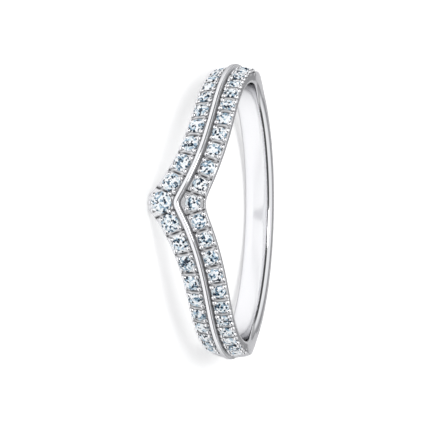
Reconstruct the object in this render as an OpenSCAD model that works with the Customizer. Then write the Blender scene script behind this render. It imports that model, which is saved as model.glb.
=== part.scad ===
// Chevron ring: one cast white metal band with a raised rail that comes to a point,
// a row of round brilliants on each side of the rail, and a plain shank behind.
// Everything is drawn about the finger axis, with the point of the chevron at angle 0,
// and the whole ring is then laid on its side with the point down. Sizes are in millimetres
// and degrees. The wearer's finger passes through the bore.

/* [Band] */
// Inside diameter, the finger size
finger_d = 17; // [14:0.5:22]
// Thickness of the band from the bore to the top of the rail and of the shank
band_t = 1.3; // [1.2:0.05:1.8]
// Width of the plain shank behind the finger
shank_w = 1.84; // [1.4:0.02:2.6]
// Angle past the last stones over which the band narrows to the shank
shoulder_fade = 38; // [25:1:50]
// Rounding where the sides meet the bore, for comfort
inner_round = 0.3; // [0.15:0.05:0.4]
// Drop of the shank's outer face from its middle to its sides
outer_round = 0.25; // [0.1:0.05:0.4]

/* [Chevron] */
// How far the chevron reaches out of the plane of the shank
chevron_h = 2; // [0.8:0.1:2.6]
// Angle from the point at which the arms of the chevron run level
chevron_reach = 54; // [40:1:70]
// How strongly the arms curve, 1 for straight arms
chevron_curve = 3; // [1.6:0.1:3.2]
// Rounding of the rail's point, as an angle about the finger
point_round = 1.7; // [1:0.1:4]
// Rounding of the valley behind the point, as an angle about the finger
valley_round = 7; // [5:0.5:12]

/* [Rail] */
// Width of the flat polished top of the rail
rail_w = 0.22; // [0.16:0.02:0.4]
// Height of the rail's top above the seats beside it
rail_rise = 0.38; // [0.25:0.01:0.5]
// Width of the channel between the rail and the seats outside the chevron
outer_channel_w = 0.2; // [0.08:0.01:0.25]
// Width of the channel between the rail and the seats inside the chevron
inner_channel_w = 0.15; // [0.08:0.01:0.25]
// Depth of the channel below the seats
channel_deep = 0.22; // [0.1:0.01:0.3]

/* [Stones] */
// Diameter of the largest stone, at the point
point_stone_d = 1.35; // [1.1:0.05:1.5]
// Diameter of the stones beside it, the first of each arm outside the chevron
near_stone_d = 1.15; // [0.9:0.01:1.3]
// Diameter of the last stones of those arms
far_stone_d = 0.82; // [0.78:0.01:1.1]
// Diameter of the stones inside the chevron
inner_stone_d = 0.92; // [0.8:0.01:1.1]
// Stones on each arm outside the chevron, beside the one at the point
outer_count = 10; // [7:1:11]
// Stones on each arm inside the chevron, beside the one in the valley
inner_count = 11; // [8:1:12]
// Space between the stone at the point and its neighbours
point_gap = 0.2; // [0.18:0.01:0.4]
// Space between the other stones outside the chevron
outer_gap = 0.34; // [0.22:0.01:0.4]
// Space between the stones inside the chevron
inner_gap = 0.33; // [0.22:0.01:0.4]
// Height of the stones' girdles above their seats
girdle_lift = 0.05; // [0.03:0.01:0.08]
// Gap between a stone and the metal that holds it
stone_clearance = 0.02; // [0.01:0.005:0.03]

/* [Seats] */
// Metal between a stone and the channel
seat_rim = 0.05; // [0.03:0.01:0.1]
// Metal outside the largest stone, at the point of the band
point_rim = 0.25; // [0.12:0.01:0.3]
// Metal outside the stones at the ends of the rows
edge_rim = 0.05; // [0.04:0.01:0.15]
// Slope of the seats outside the chevron, down from the rail to the side
outer_slope = 12; // [4:1:15]
// Slope of the seats inside the chevron, down from the rail to the side
inner_slope = 8; // [2:1:14]
// Width of the cuts between neighbouring seats
cut_w = 0.13; // [0.08:0.01:0.16]
// Depth of the cuts beside the channel
cut_deep = 0.2; // [0.1:0.01:0.25]
// Width of the four bead prongs of each seat
prong_w = 0.19; // [0.14:0.01:0.22]
// Height of the bead prongs above the seats
prong_rise = 0.17; // [0.12:0.01:0.22]

/* [Hidden] */
// Shape of a brilliant, as shares of its diameter
table_share = 0.57;
star_share = 0.78;
crown_share = 0.14;
girdle_share = 0.03;
pavilion_share = 0.43;
lower_share = 0.25;
// Height of the notch that a cut leaves in the side, as a share of the side
notch_share = 0.45;
// Shoulder of a bead prong: its height as a share of the bead's, and how far it draws in
prong_shoulder = 0.6;
prong_taper = 0.16;
// Lines on the shank's outer face: the outer one's place as a share of the half width,
// and the drops of both as shares of the drop at the side
flat_share = 0.62;
flat_drop = 0.25;
middle_drop = 0.06;
// Angle over which the metal rises from the last seats to the plain shank
end_rise = 18;
// Widening of the rail towards its foot
rail_draft = 0.02;
// Steps round the finger, of the band's surfaces and of its hole
stations = 120;
bore_facets = 180;
// Metal left inside the true bore until the bore is cut
rough = 0.05;
// Angle by which the inner side of the point opens below the bore
point_flare = 1;
// Rounding where the sides turn into the bore, the angle of the line halfway along it
turn_half = 50;
// Rounds of correction when a stone or a corner is looked for along the band
search = 8;
// Angle to each side at which the slope of a line is read
slope_step = 0.5;
// Sides of the conical pocket under a stone, three to each side of the seat
pocket_sides = 12;
// Places of a seat's extra points: the pocket's rim, its bottom, and the prongs' tops
rim_at = 8;
bottom_at = rim_at + pocket_sides;
tops_at = bottom_at + 1;
// Points of one prong's top, and all extra points of a seat
prong_points = 5;
extra = tops_at + 4 * prong_points;
finger_r = finger_d / 2;
rail_r = finger_r + band_t;
seat_r = rail_r - rail_rise;
step = 360 / stations;
round_r = finger_r + inner_round;
degree = seat_r * PI / 180;

// Plain arithmetic
function mix(a, b, t) = a + (b - a) * t;
function smooth(t) = let (k = min(1, max(0, t))) k * k * (3 - 2 * k);
function unit(v) = v / norm(v);
function across(v) = [-v[1], v[0]];
function rolled(a, r, z) = [r * cos(a), r * sin(a), z];

// The chevron: how far out of the shank's plane a line lies at an angle from the point
function law(a, soft) =
    let (near = sqrt(a * a + soft * soft))
    -chevron_h * pow(max(0, 1 - near / chevron_reach), chevron_curve);
function lean(a, soft) =
    atan((law(a + slope_step, soft) - law(a - slope_step, soft)) / (2 * slope_step * degree));

// Sides: -1 is the row outside the chevron, where the point stone is, 1 the row inside it
function slope(side) = side < 0 ? outer_slope : inner_slope;
function half_channel(side) = rail_w / 2 + (side < 0 ? outer_channel_w : inner_channel_w);
function row_soft(side) = side < 0 ? point_round : (point_round + valley_round) / 2;
function edge_soft(side) = side < 0 ? point_round : valley_round;
function count(side) = side < 0 ? outer_count : inner_count;
// Stone k of an arm, where 0 is the one at the point or in the valley
function arm_d(side, k) =
    side > 0 ? inner_stone_d :
    k == 0 ? point_stone_d :
    mix(near_stone_d, far_stone_d, (k - 1) / max(1, outer_count - 1));
function gap_after(side, k) = side > 0 ? inner_gap : k == 0 ? point_gap : outer_gap;

// Lines along the band, as places on the finger's axis: rail, channel and stones
function line_at(side, a, soft, off) = law(a, soft) + side * off / cos(lean(a, soft));
function rail_z(side, a) = line_at(side, a, point_round, rail_w / 2);
function channel_z(side, a) = line_at(side, a, point_round, half_channel(side));
function centre_z(side, a, d) =
    line_at(side, a, row_soft(side), half_channel(side) + seat_rim + d / 2);

// Angles of an arm's stones, each as far along the row as its neighbour asks
function place(side, a, d) = rolled(a, seat_r, centre_z(side, a, d));
function ahead(side, from, k, a, turns) =
    turns == 0 ? a :
    let (want = (arm_d(side, k) + arm_d(side, k + 1)) / 2 + gap_after(side, k),
         far = norm(place(side, a, arm_d(side, k + 1)) - place(side, from, arm_d(side, k))))
    ahead(side, from, k, from + (a - from) * want / far, turns - 1);
function arm(side, k, a) =
    k == count(side) ? [a] :
    concat([a], arm(side, k + 1, ahead(side, a, k, a + arm_d(side, k + 1) / degree, search)));
outer_arm = arm(-1, 0, 0);
inner_arm = arm(1, 0, 0);
// Stones of a whole row, each a [angle, diameter], and the angle where the row ends
function whole_row(side, angles) =
    let (n = count(side))
    [for (i = [-n:n]) [sign(i) * angles[abs(i)], arm_d(side, abs(i))]];
function end_of(side, angles) =
    let (n = count(side))
    angles[n] + (arm_d(side, n) + gap_after(side, n)) / 2 / degree;
outer_row = whole_row(-1, outer_arm);
inner_row = whole_row(1, inner_arm);
outer_end = end_of(-1, outer_arm);
inner_end = end_of(1, inner_arm);
function row(side) = side < 0 ? outer_row : inner_row;
function row_end(side) = side < 0 ? outer_end : inner_end;
function shank_part(a) = smooth((abs(a) - max(outer_end, inner_end)) / shoulder_fade);
function rise_part(side, a) = smooth((abs(a) - row_end(side)) / end_rise);

// The sides of the band, which follow the stones
function stone_d(side, a) =
    side > 0 ? inner_stone_d :
    mix(near_stone_d, far_stone_d,
        min(1, max(0, abs(a) - outer_arm[1]) / (outer_arm[outer_count] - outer_arm[1])));
function rim(side, a) =
    side > 0 ? edge_rim : mix(point_rim, edge_rim, min(1, abs(a) / chevron_reach));
function point_swell(side, a) =
    let (reach = (point_stone_d + point_gap) / 2 / degree)
    side > 0 ? 0 : (point_stone_d - near_stone_d) * exp(-pow(a / reach, 2));
function edge_z(side, a) =
    let (wide = half_channel(side) + seat_rim + stone_d(side, a) + point_swell(side, a)
                + rim(side, a))
    mix(line_at(side, a, edge_soft(side), wide), side * shank_w / 2, shank_part(a));
function flat_z(side, a) =
    mix(channel_z(side, a), flat_share * edge_z(side, a), shank_part(a));
function line_z(side, a, edge) = edge ? edge_z(side, a) : channel_z(side, a);

// Height of the seats' surface, which falls from the rail to the side
function seat_at(side, a, z) =
    let (off = abs(z - law(a, point_round)) * cos(lean(a, point_round)))
    seat_r - tan(slope(side)) * (off - half_channel(side));
function notch_at(side, a, z) = mix(round_r, seat_at(side, a, z), notch_share);

// The rows on the unrolled band: places are [distance round the finger, place on its axis]
function flat_place(side, s) = [s[0] * degree, centre_z(side, s[0], s[1])];
outer_places = [for (s = outer_row) flat_place(-1, s)];
inner_places = [for (s = inner_row) flat_place(1, s)];
function places(side) = side < 0 ? outer_places : inner_places;
function run_at(side, i) =
    let (q = places(side), n = len(q))
    unit(q[min(n - 1, i + 1)] - q[max(0, i - 1)]);
// Cut number i lies before stone i, the last one behind the last stone
function cut_run(side, i) =
    let (q = places(side), n = len(q))
    i == 0 ? run_at(side, 0) : i == n ? run_at(side, n - 1) : unit(q[i] - q[i - 1]);
function cut_mid(side, i) =
    let (q = places(side), n = count(side), k = max(0, i - 1), back = i == 0 ? -1 : 1,
         gap = gap_after(side, i == n || i == n + 1 ? 0 : 1))
    q[k] + back * cut_run(side, i) * (row(side)[k][1] + gap) / 2;
// The point on a line across the row where it meets the channel or the side
function meet(side, from, run, edge, y, turns) =
    turns == 0 ? from + y * across(run) :
    let (p = from + y * across(run))
    meet(side, from, run, edge, y + (line_z(side, p[0] / degree, edge) - p[1]) / run[0],
         turns - 1);
function cut_end(side, i, x, edge) =
    let (run = cut_run(side, i))
    meet(side, cut_mid(side, i) + x * run, run, edge, 0, search);
function on_seat(side, p) =
    let (a = p[0] / degree)
    rolled(a, seat_at(side, a, p[1]), p[1]);

// A seat's own directions: along the row, across it to the side, and up
function seat_origin(side, i) = on_seat(side, places(side)[i]);
function seat_along(side, i) =
    let (a = row(side)[i][0], t = run_at(side, i))
    [-t[0] * sin(a), t[0] * cos(a), t[1]];
function seat_up(side, i) =
    let (a = row(side)[i][0], t = run_at(side, i), lie = slope(side),
         off = side * [t[1] * sin(a), -t[1] * cos(a), t[0]])
    cos(lie) * [cos(a), sin(a), 0] + sin(lie) * off;
function seat_off(side, i) = side * cross(seat_up(side, i), seat_along(side, i));

// Corners of seat i: 0 and 1 by the channel, 2 and 3 by the side, in the row's direction
function corner_flat(side, i, k) =
    cut_end(side, i + k % 2, (k % 2 == 0 ? 1 : -1) * cut_w / 2, k > 1);
function corners(side, i) = [for (k = [0:3]) corner_flat(side, i, k)];
// Points beside the corners on the channel or the side, where a prong's foot ends
function beside(side, i, c, k) =
    let (q = places(side)[i], t = run_at(side, i), mate = c[k % 2 == 0 ? k + 1 : k - 1],
         x = (c[k] - q) * t, far = (mate - q) * t,
         in = x + (far > x ? prong_w : -prong_w))
    meet(side, q + in * t, t, k > 1, 0, search);
// Points beside the corners on the cut
function along_cut(c, k) =
    let (mate = c[(k + 2) % 4])
    c[k] + unit(mate - c[k]) * prong_w;

// Radius of the pocket for a stone's pavilion at the seat's surface
function pocket_r(d) =
    d / 2 - girdle_lift / (2 * pavilion_share) + stone_clearance / sin(atan(2 * pavilion_share));

// Extra points of a seat: four on the cuts, four under the prongs' inner corners, the
// pocket's rim, its bottom, and then the tops of the four prongs
function seat_points(side, i) =
    let (c = corners(side, i), d = row(side)[i][1], o = seat_origin(side, i),
         t = seat_along(side, i), b = seat_off(side, i), n = seat_up(side, i),
         cut = [for (k = [0:3]) on_seat(side, along_cut(c, k))],
         foot = [for (k = [0:3]) on_seat(side, c[k])],
         near = [for (k = [0:3]) on_seat(side, beside(side, i, c, k))],
         inner = [for (k = [0:3]) o + unit(foot[k] - o) * (d / 2 + stone_clearance)],
         r = pocket_r(d) / cos(180 / pocket_sides),
         ring = [for (k = [0:pocket_sides - 1])
                 let (a = (k + 0.5) * 360 / pocket_sides)
                 o + r * (cos(a) * t + sin(a) * b)],
         bottom = o - n * pocket_r(d) * 2 * pavilion_share)
    concat(cut, inner, ring, [bottom],
           [for (k = [0:3]) each prong([inner[k], cut[k], foot[k], near[k]], n)]);
function prong(q, n) =
    let (mid = (q[0] + q[1] + q[2] + q[3]) / 4)
    concat([for (p = q) mix(p, mid, prong_taper) + n * prong_rise * prong_shoulder],
           [mid + n * prong_rise]);

// Angles of the plain shank's stations, before and after a row
function shank_before(side) =
    [for (k = [0:stations / 2 - 1])
        let (a = k * step - 180)
        if (-a > row_end(side) + step / 2) a];
function shank_after(side) =
    [for (k = [1:stations / 2 - 1])
        let (a = k * step)
        if (a > row_end(side) + step / 2) a];
function bare(side, a, edge) =
    let (z = edge ? edge_z(side, a) : flat_z(side, a),
         low = seat_at(side, a, z), drop = outer_round * (edge ? 1 : flat_drop))
    rolled(a, mix(low, rail_r - drop, rise_part(side, a)), z);
// A groove's end, or at the ends of the row the foot of the rising metal
function groove(side, i, edge) =
    let (p = cut_end(side, i, 0, edge), a = p[0] / degree, ends = i == 0 || i == len(row(side)),
         top = seat_at(side, a, p[1]),
         low = edge ? notch_at(side, a, p[1]) : top - cut_deep)
    rolled(a, ends ? top : low, p[1]);
// One whole line beside the seats, as [angle, point]: shank, seats with grooves, shank
function seat_line(side, edge) =
    let (n = len(row(side)), c = edge ? 2 : 0)
    concat([for (a = shank_before(side)) [a, bare(side, a, edge)]],
           [[cut_end(side, 0, 0, edge)[0] / degree, groove(side, 0, edge)]],
           [for (i = [0:n - 1])
               let (k = corners(side, i),
                    q = [k[c], beside(side, i, k, c), beside(side, i, k, c + 1), k[c + 1]])
               each concat([for (p = q) [p[0] / degree, on_seat(side, p)]],
                           [[cut_end(side, i + 1, 0, edge)[0] / degree,
                             groove(side, i + 1, edge)]])],
           [for (a = shank_after(side)) [a, bare(side, a, edge)]]);
// Smooth lines round the whole band, as [angle, point]
function even_line(f) = [for (k = [0:stations - 1]) let (a = k * step - 180) [a, f(a)]];
function top_line(side) = even_line(function (a) rolled(a, rail_r, rail_z(side, a)));
function foot_line(side) = even_line(function (a)
    let (z = rail_z(side, a) + side * rail_draft)
    rolled(a, mix(seat_r - channel_deep, rail_r - outer_round * middle_drop,
                  rise_part(side, a)), z));
function wall_line(side) = even_line(function (a) rolled(a, round_r, edge_z(side, a)));
function turn_line(side, turn) = even_line(function (a)
    rolled(a, round_r - inner_round * sin(turn),
           edge_z(side, a) - side * inner_round * (1 - cos(turn))));
function bore_line(side) = even_line(function (a)
    rolled(a, finger_r - rough, edge_z(side, a) - side * (inner_round + 2 * rough)));

lines = [top_line(1), foot_line(1), seat_line(1, false),
         seat_line(1, true), wall_line(1), turn_line(1, turn_half), bore_line(1),
         bore_line(-1), turn_line(-1, turn_half), wall_line(-1), seat_line(-1, true),
         seat_line(-1, false), foot_line(-1), top_line(-1)];
// Numbers of the lines beside the seats in the list above
inner_lines = [2, 3];
outer_lines = [11, 10];
function total(v, n) = n == 0 ? 0 : v[n - 1] + total(v, n - 1);
sizes = [for (l = lines) len(l)];
starts = [for (i = [0:len(lines)]) total(sizes, i)];
line_points = [for (l = lines) each [for (p = l) p[1]]];
inner_start = len(line_points);
outer_start = inner_start + extra * len(inner_row);
band_points = concat(line_points,
    [for (i = [0:len(inner_row) - 1]) each seat_points(1, i)],
    [for (i = [0:len(outer_row) - 1]) each seat_points(-1, i)]);

// Faces between two neighbouring lines, whose points need not match
function middles(l) =
    [for (i = [0:len(l) - 1]) (l[i][0] + (i + 1 < len(l) ? l[i + 1][0] : 180)) / 2];
function below(v, x) = len([for (m = v) if (m < x) 1]);
function up_to(v, x) = len([for (m = v) if (m <= x) 1]);
function strip(i, j) =
    let (a = lines[i], b = lines[j], na = len(a), nb = len(b), p = starts[i], q = starts[j],
         ma = middles(a), mb = middles(b))
    concat([for (k = [0:na - 1]) [p + k, p + (k + 1) % na, q + below(mb, ma[k]) % nb]],
           [for (k = [0:nb - 1]) [q + (k + 1) % nb, q + k, p + up_to(ma, mb[k]) % na]]);

// Faces of seat i, where a and b are the numbers of its line's first points
function seat_faces(a, b, x) =
    let (in = [a, a + 3], out = [b, b + 3], cut = [x, x + 1, x + 2, x + 3],
         ring = [for (k = [0:pocket_sides - 1]) x + rim_at + k], n = pocket_sides,
         chain = [cut[3], x + 7, b + 2, b + 1, x + 6, cut[2],
                  cut[0], x + 4, a + 1, a + 2, x + 5, cut[1]],
         feet = [[x + 4, cut[0], a, a + 1], [x + 5, a + 2, a + 3, cut[1]],
                 [x + 6, b + 1, b, cut[2]], [x + 7, cut[3], b + 3, b + 2]],
         tops = [[0, 1, 2, 3], [0, 3, 2, 1], [0, 3, 2, 1], [0, 1, 2, 3]])
    concat([for (k = [0:n - 1]) let (m = (k + 1) % n) each
               [[ring[k], chain[k], chain[m]], [ring[k], chain[m], ring[m]],
                [ring[k], ring[m], x + bottom_at]]],
           [for (f = [0:3]) let (s = x + tops_at + prong_points * f) each
               [for (k = [0:3])
                   let (m = (k + 1) % 4, u = s + tops[f][k], v = s + tops[f][m]) each
                   [[feet[f][k], feet[f][m], v], [feet[f][k], v, u], [u, v, s + 4]]]],
           // the cuts before and behind the seat
           [[a - 1, in[0], cut[0]], [a - 1, cut[0], b - 1], [cut[0], cut[2], b - 1],
            [cut[2], out[0], b - 1],
            [in[1], a + 4, cut[1]], [cut[1], a + 4, b + 4], [cut[1], b + 4, cut[3]],
            [cut[3], b + 4, out[1]]]);
function row_faces(side) =
    let (pair = side > 0 ? inner_lines : outer_lines, n = len(row(side)),
         before = len(shank_before(side)), first = before + 1, na = sizes[pair[0]],
         p = starts[pair[0]], q = starts[pair[1]],
         x = side > 0 ? inner_start : outer_start)
    concat([for (i = [0:n - 1])
               each seat_faces(p + first + 5 * i, q + first + 5 * i, x + extra * i)],
           [for (k = [before + 5 * n:na + before - 1])
               let (u = k % na, v = (k + 1) % na) each
               [[p + u, p + v, q + u], [p + v, q + v, q + u]]]);
function flipped(faces) = [for (f = faces) [f[2], f[1], f[0]]];
band_faces = concat(strip(0, 1), strip(1, 2), row_faces(1), strip(3, 4), strip(4, 5),
                    strip(5, 6), strip(6, 7), strip(7, 8), strip(8, 9), strip(9, 10),
                    flipped(row_faces(-1)), strip(11, 12), strip(12, 13), strip(13, 0));

// A round brilliant of diameter 1 with 57 facets, its girdle's lower edge at height 0
function fan(n, off, r, z) = [for (k = [0:n - 1]) let (a = (k + off) * 360 / n)
                              [r * cos(a), r * sin(a), z]];
star_z = girdle_share + crown_share * (1 - star_share * cos(22.5)) / (1 - table_share);
lower_z = -pavilion_share * (1 - lower_share * cos(22.5));
gem_points = concat(fan(8, 0, table_share / 2, girdle_share + crown_share),
                    fan(8, 0.5, star_share / 2, star_z),
                    fan(16, 0, 0.5, girdle_share), fan(16, 0, 0.5, 0),
                    fan(8, 0.5, lower_share / 2, lower_z), [[0, 0, -pavilion_share]]);
gem_faces = concat([[for (k = [7:-1:0]) k]],
    [for (k = [0:7])
        let (m = (k + 1) % 8, g = 16 + 2 * k, h = g + 1, j = 16 + (2 * k + 2) % 16,
             up = 8 + k, up_back = 8 + (k + 7) % 8, low = 48 + k, low_back = 48 + (k + 7) % 8)
        each [[k, m, up], [k, up, g, up_back], [up, h, g], [up, j, h],
              [g, h, h + 16], [g, h + 16, g + 16], [h, j, j + 16], [h, j + 16, h + 16],
              [low, g + 16, h + 16], [low, h + 16, j + 16], [56, low_back, g + 16, low]]]);
module gem(side, i) {
    t = seat_along(side, i);
    n = seat_up(side, i);
    b = cross(n, t);
    o = seat_origin(side, i) + n * girdle_lift;
    d = row(side)[i][1];
    polyhedron([for (p = gem_points) o + d * (p[0] * t + p[1] * b + p[2] * n)], gem_faces);
}

// Rest: the ring lies with the chevron's point and the back of the shank on the floor
function low_of(p, tip) = min([for (q = p) q[0] * sin(tip) + q[1] * cos(tip)]);
front_low = [[round_r, edge_z(-1, 0)],
             [seat_at(-1, 0, edge_z(-1, 0)), edge_z(-1, 0)]];
back_low = [[-round_r, edge_z(-1, 180)], [outer_round - rail_r, edge_z(-1, 180)]];
function settle(tip, turns) =
    let (f = low_of(front_low, tip), b = low_of(back_low, tip))
    turns == 0 ? tip : settle(tip + asin((b - f) / (2 * rail_r)), turns - 1);
tip = settle(8, 12);
lift = -low_of(front_low, tip);
// Length of the bore's cut, past the side of the band
bore_h = 4 * (chevron_h + shank_w);
// Ends of the laid ring, front and back, from its axis
front_x = rail_r * cos(tip) - rail_z(-1, 0) * sin(tip);
back_x = -rail_r * cos(tip) - rail_z(1, 180) * sin(tip);
module laid() {
    translate([0, (front_x + back_x) / 2, lift]) rotate([0, 0, -90]) rotate([0, -tip, 0])
        children();
}

// The hole for the finger: the bore proper, down to the side of the band at the rows' ends,
// and below it the inner side of the point, which opens a little towards its tip
module finger_hole() {
    low = edge_z(-1, outer_end);
    rotate_extrude($fn = bore_facets)
        polygon([[0, low - bore_h], [finger_r + bore_h * tan(point_flare), low - bore_h],
                 [finger_r, low], [finger_r, low + bore_h], [0, low + bore_h]]);
}

// The cast band with its hole
module band() {
    color([0.82, 0.82, 0.84]) laid() difference() {
        polyhedron(band_points, flipped(band_faces), convexity = 10);
        finger_hole();
    }
}

// One stone of a row: k counts from the middle, up to the count of its arms either way
module stone(side, k) {
    color(k == 0 ? [0.7, 0.85, 1] : side < 0 ? [0.8, 0.9, 1] : [0.85, 0.93, 1])
        laid() gem(side, count(side) + k);
}

// Names: the arms lie left and right of the point, as seen from in front of it
function arm_nodes(name, side) =
    [for (k = [1:count(side)]) each [str(name, "_left_stone_", k), str(name, "_right_stone_", k)]];
band();
stone(-1, 0);  // point_stone
stone(1, 0);  // valley_stone
for (k = [1:outer_count]) {
    stone(-1, -k);
    stone(-1, k);
}
for (k = [1:inner_count]) {
    stone(1, -k);
    stone(1, k);
}
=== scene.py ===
"""Looks, light and camera for a chevron ring that lies on its side.

The band is drawn again at a finer pitch than its solid, with the same driving sizes and
some forms of its own; painted shade darkens its cuts, pockets, channels and beads' feet.
The stones are cut again, with crowns divided for painted reflections and sparkle. The
ring's own lengths are millimetres, and its meshes are made in metres.
"""

from __future__ import annotations

import logging
from dataclasses import dataclass, field
from enum import Enum
from math import asin, atan2, copysign, cos, degrees, pi, radians, sin, tan, tau
from typing import Callable, Sequence

import bmesh
import bpy
import numpy as np
from bpy.types import ID, Material, Node, NodeSocket, NodeTree, Object
from mathutils import Matrix, Vector


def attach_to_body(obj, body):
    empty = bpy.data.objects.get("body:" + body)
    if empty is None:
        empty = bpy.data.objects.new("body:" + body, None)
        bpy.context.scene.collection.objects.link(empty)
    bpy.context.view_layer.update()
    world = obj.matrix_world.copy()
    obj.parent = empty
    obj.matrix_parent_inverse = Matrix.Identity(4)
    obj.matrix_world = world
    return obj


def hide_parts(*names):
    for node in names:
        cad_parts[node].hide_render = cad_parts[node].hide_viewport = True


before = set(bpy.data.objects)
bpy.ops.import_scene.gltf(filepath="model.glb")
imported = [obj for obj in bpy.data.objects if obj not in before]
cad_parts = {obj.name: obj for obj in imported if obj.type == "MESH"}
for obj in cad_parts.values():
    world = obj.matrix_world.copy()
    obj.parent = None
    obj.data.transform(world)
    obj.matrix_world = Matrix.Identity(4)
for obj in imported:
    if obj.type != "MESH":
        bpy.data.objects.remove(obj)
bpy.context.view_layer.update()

log = logging.getLogger("chevron_ring")
MM = 0.001
# One number, or numbers for many places at once
Array = np.ndarray | float
Triple = tuple[float, float, float]
# Fall of a stone's underside, and how far its pocket's rim lies inside the girdle
PAVILION_SLOPE = 0.86
POCKET_IN = 0.015
# How far a cut reaches to each side of the stones' line
REACH = 1.1
# Half the step over which a line's slant is taken, in degrees
SLANT_STEP = 0.5
# Seeds kept apart for each row of stones
SEEDS_A_ROW = 100


class Side(Enum):
    """The two rows of stones, by the side of the rail that they lie on."""

    OUTER = -1
    INNER = 1


@dataclass(frozen=True)
class BandSizes:
    """Driving sizes of the band, in millimetres and degrees, as the solids have them."""

    finger_d: float = 17.0
    band_t: float = 1.3
    shank_w: float = 1.84
    shoulder_fade: float = 38.0
    end_rise: float = 18.0
    inner_round: float = 0.3
    outer_round: float = 0.25
    chevron_h: float = 2.0
    chevron_reach: float = 54.0
    chevron_curve: float = 3.0
    point_round: float = 1.7
    valley_round: float = 7.0
    rail_w: float = 0.22
    rail_rise: float = 0.38
    channel_deep: float = 0.22
    seat_rim: float = 0.05

    @property
    def finger_r(self) -> float:
        """Radius of the bore."""
        return self.finger_d / 2

    @property
    def rail_r(self) -> float:
        """Radius at the top of the rail."""
        return self.finger_r + self.band_t

    @property
    def seat_r(self) -> float:
        """Radius of the seats beside the channel."""
        return self.rail_r - self.rail_rise

    @property
    def round_r(self) -> float:
        """Radius at which the sides begin to turn into the bore."""
        return self.finger_r + self.inner_round

    @property
    def degree(self) -> float:
        """Length of one degree round the finger, at the seats."""
        return self.seat_r * pi / 180


@dataclass(frozen=True)
class RowSizes:
    """Sizes of one row of stones and its seats, in millimetres and degrees."""

    side: Side
    count: int
    first_d: float
    near_d: float
    far_d: float
    first_gap: float
    gap: float
    slope: float
    channel_w: float
    first_rim: float
    edge_rim: float = 0.05
    girdle_lift: float = 0.05
    cut_w: float = 0.14
    cut_deep: float = 0.16
    # Painted shade: a faint even tone on the plates, darker in the pockets and round their rims
    plate_shade: float = 0.06
    pocket_shade: float = 0.5
    pocket_rim: float = 0.05
    pocket_soft: float = 0.06
    # Shape of the cuts, which sets both their depth and their painted shade
    tick: float = 0.55
    bead_end: float = 0.76
    end_soft: float = 0.25
    bead_cut: float = 0.3


OUTER_SIZES = RowSizes(Side.OUTER, count=10, first_d=1.35, near_d=1.15, far_d=0.82,
                       first_gap=0.2, gap=0.34, slope=12.0, channel_w=0.2, first_rim=0.25)
INNER_SIZES = RowSizes(Side.INNER, count=11, first_d=0.92, near_d=0.92, far_d=0.92,
                       first_gap=0.33, gap=0.33, slope=8.0, channel_w=0.15, first_rim=0.05)
MIDDLE_NAMES = {Side.OUTER: "point_stone", Side.INNER: "valley_stone"}


def smooth(value: Array) -> Array:
    """Eases numbers from 0 to 1, and holds those outside."""
    held = np.clip(value, 0.0, 1.0)
    return held * held * (3.0 - 2.0 * held)


def mix(low: Array, high: Array, share: Array) -> Array:
    """A value between two others, at a share of the way."""
    return low + (high - low) * share


@dataclass(frozen=True)
class Chevron:
    """How far the rail, the rows and the sides lie out of the shank's plane."""

    sizes: BandSizes

    def law(self, angle: Array, soft: float) -> Array:
        """Place of a line on the finger's axis.

        Args:
            angle: angles from the point, in degrees.
            soft: rounding of the line at the point, as an angle.

        Returns:
            The places, in millimetres.
        """
        near = np.sqrt(np.square(angle) + soft * soft)
        left = np.maximum(0.0, 1.0 - near / self.sizes.chevron_reach)
        return -self.sizes.chevron_h * np.power(left, self.sizes.chevron_curve)

    def lean(self, angle: Array, soft: float) -> Array:
        """Slant of that line, in radians from the way round the finger."""
        rise = self.law(angle + SLANT_STEP, soft) - self.law(angle - SLANT_STEP, soft)
        return np.arctan(rise / (2 * SLANT_STEP * self.sizes.degree))

    def beside(self, side: Side, angle: Array, soft: float, off: Array) -> Array:
        """Place of a line that runs beside the rail's middle, square to it by off."""
        return self.law(angle, soft) + side.value * off / np.cos(self.lean(angle, soft))


@dataclass(frozen=True)
class Seat:
    """One stone's place: its middle, its own directions, and where it is on the unrolled band."""

    diameter: float
    middle: Vector
    along: Vector
    up: Vector
    across: Vector
    flat: Vector
    run: Vector


@dataclass(frozen=True)
class Cut:
    """A cut across a row on the unrolled band: its middle, the row's run, the stones' radius."""

    middle: Vector
    run: Vector
    half: float


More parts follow.
